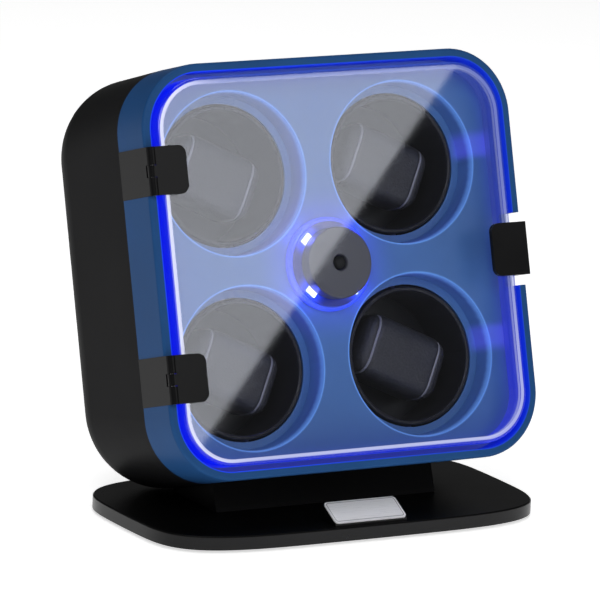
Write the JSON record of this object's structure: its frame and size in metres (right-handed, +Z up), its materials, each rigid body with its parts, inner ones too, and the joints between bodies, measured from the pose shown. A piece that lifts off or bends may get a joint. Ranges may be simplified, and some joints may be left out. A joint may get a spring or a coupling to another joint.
{
  "type": "watch winder box",
  "caption": "Upright display winder with round rotating cushions behind a clear hinged door, a central lamp and a wide low base.",
  "frame": {"origin": "under the middle of the base, in the plane its feet stand on", "axes": "+Z up, -Y towards the front and the clear door, +X towards the door pull"},
  "size_m": [0.2474, 0.1949, 0.2649],
  "materials": {
    "satin_black_plastic": "satin",
    "cup_black_plastic": "satin",
    "black_leather": "fine grain",
    "gear_plastic": "matte",
    "shaft_steel": "turned",
    "bush_brass": "turned",
    "screw_steel": "blackened",
    "blue_frame_plastic": "satin",
    "blue_panel_plastic": "satin",
    "clear_acrylic": "polished",
    "gloss_black": "gloss",
    "dark_grey_plastic": "fine matte",
    "circuit_board": "lacquered",
    "led_white": "diffuse",
    "plate_aluminium": "brushed",
    "motor_metal": "zinc",
    "foot_rubber": "matte"
  },
  "bodies": {
    "case": {"base_mat": "foot_rubber", "base_plate": "satin_black_plastic", "board_posts": "shaft_steel", "button_spring": "shaft_steel", "control_board": "circuit_board", "cover_screws": "screw_steel", "deck_posts": "shaft_steel", "deck_screws": "screw_steel", "display_panel": "blue_panel_plastic", "front_frame": "blue_frame_plastic", "gear_deck": "satin_black_plastic", "gear_motor": "motor_metal", "hinge_bracket_lower": "gloss_black", "hinge_bracket_upper": "gloss_black", "hinge_pins": "shaft_steel", "keeper_plate": "shaft_steel", "lamp_cap": "dark_grey_plastic", "lamp_collar": "blue_panel_plastic", "lamp_flange": "blue_panel_plastic", "led_board": "circuit_board", "led_chips": "led_white", "mode_switch": "satin_black_plastic", "motor_screws": "screw_steel", "name_plate": "plate_aluminium", "pedestal": "satin_black_plastic", "pedestal_screws": "screw_steel", "plate_holder": "satin_black_plastic", "power_inlet": "satin_black_plastic", "rear_cover": "satin_black_plastic", "rear_shell": "satin_black_plastic", "rocker_frame": "satin_black_plastic", "shaft_bushes": "bush_brass"},
    "door": {"clear_door": "clear_acrylic", "hinge_flap_upper": "gloss_black", "hinge_flap_lower": "gloss_black", "door_pull": "gloss_black", "pull_magnet": "shaft_steel"},
    "rotor_1": {"rotor_cup_1": "cup_black_plastic", "cushion_1": "black_leather", "rotor_gear_1": "gear_plastic", "rotor_shaft_1": "shaft_steel"},
    "rotor_2": {"rotor_cup_2": "cup_black_plastic", "cushion_2": "black_leather", "rotor_gear_2": "gear_plastic", "rotor_shaft_2": "shaft_steel"},
    "rotor_3": {"rotor_cup_3": "cup_black_plastic", "cushion_3": "black_leather", "rotor_gear_3": "gear_plastic", "rotor_shaft_3": "shaft_steel"},
    "rotor_4": {"rotor_cup_4": "cup_black_plastic", "cushion_4": "black_leather", "rotor_gear_4": "gear_plastic", "rotor_shaft_4": "shaft_steel"},
    "drive": {"drive_gear": "gear_plastic", "drive_shaft": "shaft_steel"},
    "button": {"push_button": "gloss_black"},
    "knob": {"mode_knob": "satin_black_plastic"},
    "rocker": {"rocker_cap": "satin_black_plastic"}
  },
  "joints": [
    {"name": "door_swing", "type": "hinge", "parent": "case", "child": "door", "pos_m": [-0.1174, -0.02351, 0.15282], "axis": [0, -0.284, -0.9588], "range_deg": [0, 105]},
    {"name": "rotor_1_turn", "type": "hinge", "parent": "case", "child": "rotor_1", "pos_m": [-0.05543, 0.07105, 0.18263], "axis": [0, 0.9588, -0.284], "continuous": true},
    {"name": "rotor_2_turn", "type": "hinge", "parent": "case", "child": "rotor_2", "pos_m": [0.05543, 0.07105, 0.18263], "axis": [0, 0.9588, -0.284], "continuous": true},
    {"name": "rotor_3_turn", "type": "hinge", "parent": "case", "child": "rotor_3", "pos_m": [-0.05543, 0.03956, 0.07633], "axis": [0, 0.9588, -0.284], "continuous": true},
    {"name": "rotor_4_turn", "type": "hinge", "parent": "case", "child": "rotor_4", "pos_m": [0.05543, 0.03956, 0.07633], "axis": [0, 0.9588, -0.284], "continuous": true},
    {"name": "drive_turn", "type": "hinge", "parent": "case", "child": "drive", "pos_m": [0, 0.05531, 0.12948], "axis": [0, 0.9588, -0.284], "continuous": true},
    {"name": "button_press", "type": "slide", "parent": "case", "child": "button", "axis": [0, 0.9588, -0.284], "range_m": [0, 0.0012], "stiffness_N_per_m": 300, "springref_m": -0.002, "deforming": ["button_spring"]},
    {"name": "mode_turn", "type": "hinge", "parent": "case", "child": "knob", "pos_m": [-0.06, 0.07761, 0.04986], "axis": [0, -0.9588, 0.284], "range_deg": [0, 270]},
    {"name": "power_rock", "type": "hinge", "parent": "case", "child": "rocker", "pos_m": [0, 0.07665, 0.05015], "axis": [0, -0.284, -0.9588], "range_deg": [0, 12]}
  ],
  "couplings": [
    {"joint": "rotor_2_turn", "follows": "rotor_1_turn", "ratio": 1},
    {"joint": "rotor_3_turn", "follows": "rotor_1_turn", "ratio": 1},
    {"joint": "rotor_4_turn", "follows": "rotor_1_turn", "ratio": 1},
    {"joint": "drive_turn", "follows": "rotor_1_turn", "ratio": -1.45}
  ]
}
